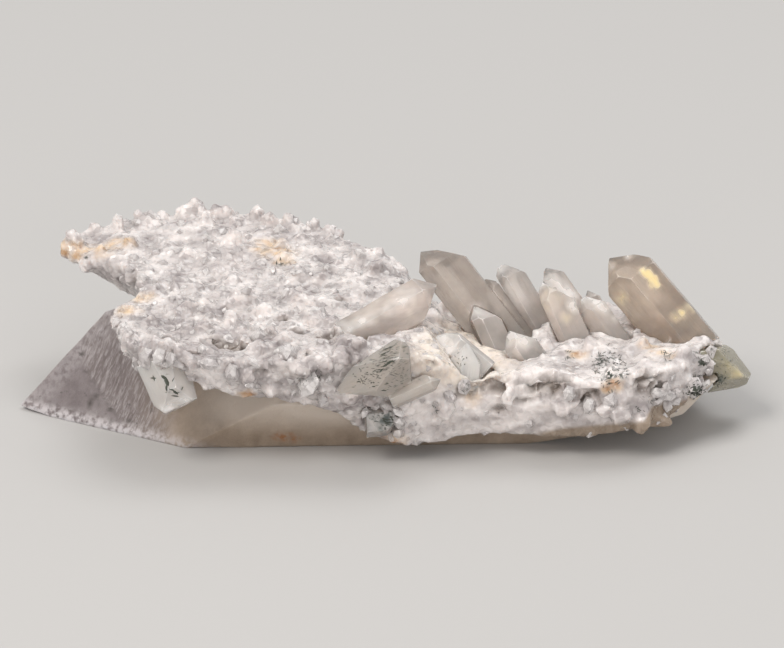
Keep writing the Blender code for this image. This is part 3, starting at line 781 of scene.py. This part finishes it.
# The underside at the right is bare brown-grey quartz, below this line.
BARE_COLUMNS = [520.0, 560.0, 640.0, 648.0, 700.0]
BARE_ROWS = [434.0, 426.0, 419.0, 404.0, 396.0]
bare_row = np.interp(column, BARE_COLUMNS, BARE_ROWS)
bare = 0.9 * ramp(row, bare_row - 2.0, bare_row + 3.0)
set_values(skin, "bare", bare * ramp(column, 520.0, 545.0))
skin_tree = mesh_tree(skin)
iron_spots = spots_on(skin_tree, IRON_PLACES)
green_spots = spots_on(skin_tree, GREEN_PLACES)
rust_spots = spots_on(skin_tree, RUST_PLACES)
set_values(skin, "rust", spots_field(points, rust_spots, 25.0, 1.5))
set_values(skin, "iron", 0.85 * spots_field(points, iron_spots, 21.0, 1.3))
set_values(skin, "green", spots_field(points, green_spots, 23.0))
place_piece("drusy_crust_skin", skin, crust_material, "crust", "drusy_crust")


# Clear crystals of a millimetre or two that stand out of the druse with sharp
# edges, and a few larger ones. They are quartz without the milk, so the white
# crust shows in them.

# The same quartz without the milk: a quarter of the light goes through, so these
# crystals look wet beside the crust.
druse_clear = druse_material("small clear quartz crystals", "F0EBE9", "C6BEBD", 0.25, 0.0)


def clear_spacing(spot, normal):
    """They stand closest in the front of the left field."""
    if normal[2] < -0.3 or spot[0] < -40.0:
        return 0.0
    if spot[0] < 8.0:
        return 1.8 if spot[1] < 4.0 else 2.6
    return 3.8


clear = grow_druse(
    clear_spacing, density=1.6, size_share=0.42, stretch=(1.8, 3.0), raised=(0.3, 0.9),
    sunk=0.45, spread=0.2, widest=2.0,
)
IN_HOLLOW = 0.15
in_field = spots_field(clear[0], spots_on(crust_tree, HOLLOWS), 27.0, 1.9) < IN_HOLLOW
clear = [part[in_field] for part in clear]

# Some that stand out in the photograph: column, row, radius and length in mm, and
# the way each one points.
SINGLE_TURN = 0.3
SINGLE = [
    (311, 382, 2.0, 4.4, (-0.4, -0.9, 0.3)), (324, 397, 1.2, 2.8, (0.1, -0.9, -0.5)),
    (236, 372, 1.4, 3.6, (-0.3, -0.9, -0.1)), (252, 378, 1.2, 3.0, (0.3, -0.9, 0.2)),
    (290, 352, 1.5, 3.4, (-0.6, -0.5, 0.5)), (262, 338, 1.3, 3.2, (-0.7, -0.5, 0.4)),
    (316, 318, 1.9, 4.0, (-0.6, -0.4, 0.7)), (214, 362, 1.2, 3.0, (-0.2, -0.9, 0.0)),
    (144, 361, 1.2, 3.0, (-0.5, -0.8, 0.1)), (153, 357, 1.4, 3.2, (-0.2, -0.9, 0.1)),
    (165, 356, 1.3, 3.0, (0.1, -0.9, 0.2)), (176, 359, 1.1, 2.6, (0.3, -0.9, 0.1)),
    (661, 389, 0.8, 3.4, (0.2, -0.6, 1.0)), (656, 392, 0.8, 3.4, (-1.0, -0.6, 0.3)),
    (657, 397, 0.7, 3.4, (-0.9, -0.6, -0.6)), (663, 401, 0.9, 3.2, (0.1, -0.6, -1.0)),
    (668, 397, 0.8, 3.2, (0.9, -0.6, -0.5)), (668, 392, 0.7, 3.4, (0.9, -0.6, 0.4)),
    (400, 421, 0.9, 2.0, (0.6, -0.8, 0.0)), (398, 410, 0.9, 2.0, (0.3, -0.8, 0.4)),
    (388, 404, 0.9, 2.0, (0.1, -0.8, 0.5)), (376, 404, 0.8, 2.0, (-0.2, -0.8, 0.5)),
    (366, 411, 0.8, 1.8, (-0.6, -0.8, 0.3)), (398, 431, 0.9, 2.0, (0.4, -0.9, -0.3)),
    (663, 394, 1.0, 3.0, (0.1, -0.9, 0.2)), (463, 385, 1.2, 2.4, (-0.2, -0.9, 0.3)),
    (683, 389, 0.9, 1.9, (0.3, -0.8, 0.2)), (690, 384, 1.2, 2.4, (0.2, -0.8, 0.5)),
    (696, 380, 0.9, 1.8, (-0.4, -0.7, 0.6)), (702, 383, 0.7, 1.8, (0.7, -0.6, 0.3)),
    (699, 389, 0.8, 1.7, (0.9, -0.4, -0.1)), (705, 371, 0.7, 1.6, (0.1, -0.6, 0.7)),
    (702, 359, 0.9, 1.8, (0.3, -0.5, 0.8)), (708, 352, 0.8, 2.2, (0.2, 0.2, 1.0)),
    (690, 394, 0.6, 1.6, (0.4, -0.8, -0.4)), (606, 400, 1.4, 3.0, (0.4, -0.8, 0.3)),
    (585, 404, 1.2, 2.8, (0.2, -0.9, -0.1)), (566, 392, 1.1, 2.8, (-0.1, -0.9, 0.3)),
    (448, 394, 1.1, 2.6, (-0.4, -0.8, 0.3)),
]
for column, row, radius, length, way in SINGLE:
    foot, normal = on_surface(whole_tree, column, row)
    single = (foot, way, SINGLE_TURN, radius, length)
    clear = [np.append(part, [value], axis=0) for part, value in zip(clear, single)]
clear_mesh = crystal_cloud("clear_druse_crystals", *clear)
whiteness = rng.uniform(0.35, 1.0, len(clear[0]))
rusty = spots_field(clear[0], iron_spots, 21.0, 1.3)
set_values(clear_mesh, "tone", np.repeat(whiteness, CORNERS))
set_values(clear_mesh, "iron", np.repeat(rusty, CORNERS))
place_piece("clear_druse_crystals", clear_mesh, druse_clear, "crust")


# The larger prismatic crystals that stand in the crust. Each is one crystal,
# or two grown through one another, rooted in the crust.

def crystal_material(name, clear, cloud, roughness, transmission, absorb, density, striation):
    """Clear crystal with milky veils in it, frost on its worn faces and a painted highlight along
    its edges.

    The clear part is see-through and takes its tint from absorption along the
    path of the light; the veils scatter light like the milky quartz they are."""
    material, tree, shader, place = new_material(name)
    veil = mottle(tree, place, 5.0, 3.0, 0.5, 0.38, 0.66)
    tint = add_node(
        tree, "ShaderNodeMixRGB", {"Fac": veil, "Color1": linear(clear), "Color2": linear(cloud)}
    ).outputs["Color"]

    # Frost on the worn parts, a painted highlight along the edges, and a dust of etch pits. The
    # pits are drawn half a millimetre wide, coarser than the real ones, so that they show.
    pits = mottle(tree, place, 0.526, 5.0, 0.75, 0.45, 0.75, 0.0, 0.3)
    frost_and_edge_highlight, iron, green = [
        add_node(tree, "ShaderNodeAttribute", attribute_name=mark).outputs["Fac"]
        for mark in ("frost_and_edge_highlight", "iron", "green")
    ]
    frost_pits_and_highlight, stained = [
        add_node(
            tree, "ShaderNodeMath", {0: first, 1: second}, operation="MAXIMUM", use_clamp=True
        ).outputs["Value"]
        for first, second in ((frost_and_edge_highlight, pits), (iron, green))
    ]
    for amount, code in ((frost_pits_and_highlight, "F0ECEA"), (iron, "EAD7A4"), (green, "3F4A46")):
        tint = add_node(
            tree, "ShaderNodeMixRGB", {"Fac": amount, "Color1": tint, "Color2": linear(code)}
        ).outputs["Color"]

    # Frost, the painted edge highlight and stains let no light through and are dull. The veils dim
    # it a little.
    covered = add_node(
        tree, "ShaderNodeMath", {0: frost_and_edge_highlight, 1: stained}, operation="MAXIMUM", use_clamp=True
    ).outputs["Value"]
    through = add_node(
        tree, "ShaderNodeMapRange",
        {"Value": veil, "To Min": transmission, "To Max": 0.85 * transmission},
    ).outputs["Result"]
    through = add_node(
        tree, "ShaderNodeMapRange", {"Value": covered, "To Min": through, "To Max": 0.0}
    ).outputs["Result"]
    dull = mottle(tree, place, 1.11, 3.0, 0.5, 0.3, 0.7, roughness * 0.6, roughness * 1.5)
    dull = add_node(
        tree, "ShaderNodeMapRange", {"Value": covered, "To Min": dull, "To Max": 0.5}
    ).outputs["Result"]

    # Striation along the prism, in lines about 0.4 mm wide.
    grain = add_node(tree, "ShaderNodeAttribute", attribute_name="grain").outputs["Vector"]
    lines = add_node(
        tree, "ShaderNodeTexNoise", {"Vector": grain, "Scale": 2.6, "Detail": 5.0, "Roughness": 0.6}
    ).outputs["Fac"]
    bump = add_node(
        tree, "ShaderNodeBump", {"Strength": striation, "Distance": 0.3 * MM, "Height": lines}
    )
    volume = add_node(
        tree, "ShaderNodeVolumeAbsorption", {"Color": linear(absorb), "Density": density}
    )
    set_inputs(tree, tree.nodes["Material Output"], {"Volume": volume.outputs["Volume"]})
    set_inputs(tree, shader, {
        "Base Color": tint, "Normal": bump.outputs["Normal"], "Roughness": dull, "IOR": 1.6,
        "Transmission Weight": through, "Subsurface Weight": 0.7,
        "Subsurface Radius": (1.0, 0.94, 0.88), "Subsurface Scale": 2.0 * MM,
    })
    return material


# Clear stone with a grey-beige tint: it is pale where thin and brown where thick.
grey_beige = crystal_material(
    "grey-beige clear crystal", "F8F0EA", "F4ECE6", 0.08, 0.8, "CDB8A6", 38.0, 0.35
)
# The same, darker: the tall pair is the thickest and greyest of the row.
deep_grey = crystal_material(
    "deep grey-beige clear crystal", "E3D9D0", "DCD1C7", 0.08, 0.8, "BDAA98", 50.0, 0.35
)
# Creamier stone with more veils, so that it glows warm.
warm_beige = crystal_material(
    "warm beige crystal", "F7EDE6", "F4E8DF", 0.07, 0.72, "DCC0A8", 46.0, 0.35
)
# Very clear stone that turns the light honey-yellow.
honey = crystal_material(
    "honey beige clear crystal", "EADDCF", "E4D5C4", 0.07, 0.82, "CBA984", 58.0, 0.35
)
# Milk-white stone: half the light goes through and the rest comes back white.
milky = crystal_material(
    "milky white crystal", "F7F1ED", "F6F1EC", 0.12, 0.56, "DCD1C7", 20.0, 0.4
)
# Grey smoky stone, which the needles in it darken further.
smoky = crystal_material(
    "smoky grey crystal with needles", "EBE4DC", "DAD0C6", 0.1, 0.68, "B5A796", 46.0, 0.3
)
# Dull greenish grey stone, full of chlorite, that lets half the light through.
greenish = crystal_material(
    "greenish grey crystal", "C9C2AC", "ADA68E", 0.2, 0.5, "B8AF85", 50.0, 0.3
)

# The angle of each shaft to the horizontal in degrees, how far it leans away and
# which stone it is.
SHAFTS = {
    "topaz_upright_pair": (128, 0.20, deep_grey),
    "topaz_upright_second": (120, 0.15, grey_beige),
    "topaz_upright_behind": (125, 0.22, grey_beige),
    "topaz_upright_frosted": (114, 0.12, warm_beige),
    "topaz_upright_stubby": (125, 0.12, warm_beige),
    "topaz_upright_large": (130, 0.15, honey),
    "topaz_low_first": (114, 0.15, grey_beige),
    "topaz_low_second": (125, 0.15, grey_beige),
    "topaz_hanging": (297, 0.0, milky),
    "topaz_dark_chisel": (33, 0.0, smoky),
    "topaz_beige": (30, 0.3, warm_beige),
    "topaz_milky": (140, 0.05, milky),
    "topaz_speckled": (84, 0.0, milky),
    "topaz_green_patch": (6, 0.1, grey_beige),
    "quartz_green_tip": (340, 0.0, greenish),
}
FROST_PLACES = [
    (611, 256, 1.8, 0.7), (620, 252, 1.4, 0.6), (609, 268, 1.2, 0.4), (630, 256, 1.0, 0.3),
    (542, 284, 1.5, 0.5), (551, 284, 1.6, 0.6), (561, 289, 1.7, 0.6), (569, 296, 1.6, 0.6),
    (574, 305, 1.4, 0.5), (583, 300, 1.5, 0.5), (594, 300, 1.6, 0.6), (603, 307, 1.5, 0.5),
    (611, 316, 1.3, 0.4), (424, 251, 1.4, 0.4), (500, 267, 1.4, 0.4), (478, 310, 1.6, 0.4),
    (510, 335, 1.8, 0.5), (524, 340, 1.8, 0.4), (434, 344, 2.6, 0.6), (450, 352, 2.0, 0.5),
    (188, 403, 2.4, 0.6), (176, 408, 1.8, 0.6), (200, 400, 1.6, 0.6), (152, 354, 2.0, 0.5),
    (405, 300, 2.6, 0.35), (385, 308, 2.4, 0.3), (365, 320, 2.2, 0.35), (345, 330, 2.0, 0.4),
]
STAINS = [
    (642, 270, 0.7, 1.0), (647, 274, 0.9, 1.2), (652, 279, 0.9, 1.3), (656, 285, 0.7, 1.0),
    (651, 286, 0.6, 0.9), (690, 308, 1.0, 0.6), (682, 313, 1.0, 0.6), (674, 317, 0.9, 0.5),
    (621, 298, 1.5, 0.35), (566, 318, 1.2, 0.25), (545, 300, 2.4, 0.2),
    (737, 374, 1.5, 0.4), (728, 364, 1.2, 0.3),
]
MOSS = [
    (384, 418, 1.7, 1.0), (389, 421, 1.2, 0.9), (377, 415, 1.2, 0.7), (381, 425, 1.1, 0.8),
    (371, 414, 0.9, 0.4), (714, 378, 1.3, 1.0), (719, 381, 1.1, 0.8), (712, 385, 0.9, 0.7),
    (726, 362, 0.8, 0.3), (172, 383, 0.5, 0.6), (708, 364, 0.6, 0.5),
]
frost_spots = spots_on(large_tree, FROST_PLACES)
stain_spots = spots_on(large_tree, STAINS)
moss_spots = spots_on(large_tree, MOSS)
surfaces = {}

for name in large_names:
    bm = cad_mesh(name)
    soften(bm, width=0.16)
    refine(bm, longest=0.9)
    bm.normal_update()
    for vertex in bm.verts:
        wave = 0.07 * smooth_noise(vertex.co, 3.0, 51.0)
        wave += 0.025 * smooth_noise(vertex.co, 0.9, 53.0)
        vertex.co += vertex.normal * wave
    # A painted highlight along the rounded edges, where the faces bend: white, dull and opaque,
    # laid into the frost mark.
    bend = np.array([
        1.0 - min(vertex.normal.dot(face.normal) for face in vertex.link_faces)
        for vertex in bm.verts
    ])
    painted_edge_highlight = 0.5 * ramp(bend, 0.02, 0.08)
    mesh = finish_mesh(name + "_crystal", bm, sharp_degrees=22.0)
    angle, away, stone = SHAFTS[name]
    turn = math.radians(angle)
    shaft = math.cos(turn) * Vector((1.0, 0.0, 0.0)) + math.sin(turn) * UP - away * TOWARD
    set_grain(mesh, shaft, stretch=0.08)
    points = mesh_points(mesh)
    frosted = spots_field(points, frost_spots, 61.0)
    set_values(mesh, "frost_and_edge_highlight", np.maximum(frosted, painted_edge_highlight))
    set_values(mesh, "iron", spots_field(points, stain_spots, 21.0))
    set_values(mesh, "green", spots_field(points, moss_spots, 63.0))
    surfaces[name] = mesh_tree(mesh)
    slot_name = "green_quartz" if name == "quartz_green_tip" else "clear_crystal"
    place_piece(name + "_crystal", mesh, stone, slot_name, name)


# Dark green needles of another mineral, each a fraction of a millimetre thick. They
# grew first and the crystals closed over them. Here they lie half sunk in the
# surface, where the clear stone would show them.

# Hard opaque crystals with smooth faces: nearly black, with a green shine.
needle_material, tree, shader, place = new_material("dark green needles")
shade = mottle(tree, place, 1.43, 2.0, 0.5, 0.0, 1.0)
shade = add_node(
    tree, "ShaderNodeMixRGB",
    {"Fac": shade, "Color1": linear("33382F"), "Color2": linear("5A5E54")},
).outputs["Color"]
set_inputs(tree, shader, {"Base Color": shade, "Roughness": 0.4})

# A stroke shorter or longer than this, in mm, has missed its crystal.
SHORTEST = 0.05
LONGEST = 4.0


def needles(name, tree, strokes, slot_name):
    """Slim four-sided needles that follow the surface between measured places.

    A stroke is the column and row of both its ends, and its width in mm."""
    verts = []
    faces = []
    for *from_place, to_column, to_row, width in strokes:
        start, start_normal = on_surface(tree, *from_place)
        end, end_normal = on_surface(tree, to_column, to_row)
        if start is None or end is None:
            continue
        run = end - start
        if not SHORTEST <= run.length <= LONGEST:
            continue
        normal = (start_normal + end_normal).normalized()
        side = run.cross(normal).normalized()
        first = len(verts)
        verts.append(start)
        for share in (0.3, 0.7):
            middle = start + run * share
            for way in (side, normal, -side, -normal):
                verts.append(middle + way * (0.5 * width))
        verts.append(end)
        for index in range(4):
            near = first + 1 + index
            after = first + 1 + (index + 1) % 4
            faces.append((first, after, near))
            faces.append((near, after, after + 4, near + 4))
            faces.append((first + 9, near + 4, after + 4))
    mesh = bpy.data.meshes.new(name)
    mesh.from_pydata([vert * MM for vert in verts], [], faces)
    mesh.update()
    place_piece(name, mesh, needle_material, slot_name)


def sprinkle(count, middle, spread, length, width, angle, turn_spread):
    """Random strokes around a measured place; lengths in steps, widths in mm."""
    strokes = []
    for index in range(count):
        column = middle[0] + rng.normal(0.0, spread[0])
        row = middle[1] + rng.normal(0.0, spread[1])
        turn = math.radians(angle + rng.normal(0.0, turn_spread))
        size = length * rng.uniform(0.4, 1.3)
        strokes.append((
            column, row, column + size * math.cos(turn), row - size * math.sin(turn),
            width * rng.uniform(0.6, 1.4),
        ))
    return strokes


needles("hanging_crystal_needles", surfaces["topaz_hanging"], [
    (163, 373, 176, 373, 0.30), (166, 374, 173, 379, 0.45), (170, 376, 174, 385, 0.55),
    (172, 383, 172, 390, 0.50), (172, 386, 180, 389, 0.50), (177, 381, 180, 375, 0.22),
    (178, 389, 183, 393, 0.40), (181, 392, 187, 389, 0.28), (185, 390, 188, 385, 0.28),
    (158, 374, 160, 380, 0.28), (155, 377, 162, 377, 0.22), (164, 363, 169, 362, 0.24),
    (176, 394, 184, 395, 0.25), (170, 391, 176, 390, 0.35),
], "clear_crystal")

chisel_strokes = [
    (379, 344, 392, 342, 0.10), (390, 341, 402, 343, 0.11), (400, 343, 409, 347, 0.11),
    (376, 351, 388, 347, 0.20), (383, 349, 394, 346, 0.17), (381, 354, 390, 350, 0.15),
    (384, 361, 391, 357, 0.20), (382, 366, 392, 360, 0.22), (388, 364, 393, 359, 0.15),
    (379, 372, 384, 367, 0.17), (372, 385, 376, 385, 0.17), (384, 383, 389, 382, 0.15),
    (381, 389, 387, 389, 0.17), (361, 376, 364, 382, 0.11), (364, 377, 366, 375, 0.10),
    (354, 363, 356, 360, 0.11), (347, 366, 350, 365, 0.11), (409, 350, 410, 372, 0.08),
]
chisel_strokes += sprinkle(110, (389, 354), (10.0, 6.0), 5.0, 0.08, 14.0, 12.0)
chisel_strokes += sprinkle(150, (386, 370), (13.0, 9.0), 4.0, 0.07, 10.0, 20.0)
chisel_strokes += sprinkle(24, (368, 378), (9.0, 4.0), 3.0, 0.09, 0.0, 40.0)
chisel_strokes += sprinkle(16, (358, 364), (6.0, 4.0), 3.0, 0.09, 60.0, 30.0)
needles(
    "chisel_crystal_needles", surfaces["topaz_dark_chisel"], chisel_strokes, "clear_crystal"
)

patch_strokes = sprinkle(30, (384, 419), (6.0, 3.0), 4.0, 0.14, -12.0, 25.0)
patch_strokes += sprinkle(10, (376, 414), (6.0, 2.0), 3.0, 0.1, 5.0, 30.0)
needles("green_patch_needles", surfaces["topaz_green_patch"], patch_strokes, "clear_crystal")

crust_strokes = []
for column, row, count, spread in (
    (596, 358, 12, 3.0), (606, 356, 14, 4.0), (616, 362, 12, 3.0), (593, 368, 10, 3.0),
    (618, 374, 12, 3.5), (604, 378, 12, 4.0), (598, 382, 6, 3.0), (607, 366, 10, 5.0),
    (694, 353, 4, 1.5), (698, 361, 8, 2.0), (709, 350, 4, 1.5), (662, 354, 6, 3.0),
    (692, 378, 6, 2.0), (694, 390, 20, 3.5), (702, 395, 22, 3.5), (712, 396, 8, 2.0),
    (688, 386, 6, 2.5), (434, 407, 4, 1.5), (452, 361, 4, 2.0), (568, 355, 4, 2.5),
    (303, 379, 6, 2.5), (317, 377, 8, 3.0), (280, 264, 5, 1.8), (83, 257, 3, 1.2),
    (465, 388, 5, 3.0), (644, 398, 5, 3.0), (634, 408, 4, 2.5),
):
    crust_strokes += sprinkle(2 * count, (column, row), (spread, spread), 4.0, 0.1, 20.0, 60.0)
crust_strokes += sprinkle(90, (691, 391), (4.0, 2.6), 4.5, 0.26, 10.0, 45.0)
crust_strokes += sprinkle(24, (704, 394), (5.0, 1.5), 4.0, 0.14, -5.0, 25.0)
crust_strokes += sprinkle(24, (697, 363), (1.4, 1.4), 3.0, 0.24, 40.0, 30.0)
needles("crust_needles", mesh_tree(skin, clear_mesh, base_mesh), crust_strokes, "crust")

tip_strokes = sprinkle(26, (716, 379), (3.0, 3.0), 3.2, 0.16, 30.0, 60.0)
tip_strokes += sprinkle(20, (720, 368), (6.0, 8.0), 2.6, 0.1, 40.0, 60.0)
needles("green_tip_needles", surfaces["quartz_green_tip"], tip_strokes, "green_quartz")

speckled_strokes = sprinkle(14, (459, 361), (3.0, 4.0), 3.0, 0.14, 60.0, 40.0)
needles(
    "speckled_crystal_needles", surfaces["topaz_speckled"], speckled_strokes, "clear_crystal"
)


# The studio: a plain pale floor, soft lights and the camera, which looks down at
# the piece by 22 degrees.

floor_mesh = bpy.data.meshes.new("floor")
floor_mesh.from_pydata([(-6, -6, 0), (6, -6, 0), (6, 6, 0), (-6, 6, 0)], [], [(0, 1, 2, 3)])
floor = add_object("floor", floor_mesh)
floor_material, tree, shader, place = new_material("plain pale floor")
set_inputs(tree, shader, {"Base Color": linear("BDBBB9"), "Roughness": 0.8})
floor_mesh.materials.append(floor_material)


AIM_HEIGHT = 0.01  # of the lights, in metres: about the middle of the object


def area_light(name, place, size, power, colour):
    """A soft square light that faces the object."""
    data = bpy.data.lights.new(name, "AREA")
    data.size = size
    data.energy = power
    data.color = linear(colour)[:3]
    obj = add_object(name, data)
    obj.location = place
    direction = Vector((0.0, 0.0, AIM_HEIGHT)) - Vector(place)
    obj.rotation_euler = direction.to_track_quat("-Z", "Y").to_euler()


area_light("key_light", (-0.45, -0.35, 0.75), 0.4, 4.6, "FFFBF6")
area_light("top_light", (0.25, 0.35, 0.8), 0.5, 2.6, "FFFFFF")
area_light("front_fill", (0.2, -0.95, 0.16), 0.6, 3.4, "FFFCFA")

world = bpy.data.worlds.new("studio")
bpy.context.scene.world = world
world.use_nodes = True
tree = world.node_tree
set_inputs(tree, tree.nodes["Background"], {"Color": linear("D8D8D8"), "Strength": 0.85})

CAMERA_DISTANCE = 0.98
camera_data = bpy.data.cameras.new("camera")
camera_data.lens = 300.0
camera_data.sensor_width = 36.0
camera_data.clip_start = 0.05
camera_data.clip_end = 20.0
camera = add_object("camera", camera_data)
aim = Vector((1.084, -0.461, 13.1)) * MM
camera.location = aim + TOWARD * CAMERA_DISTANCE
camera.rotation_euler = (-TOWARD).to_track_quat("-Z", "Y").to_euler()
bpy.context.scene.camera = camera
bpy.context.scene.view_settings.view_transform = "Standard"
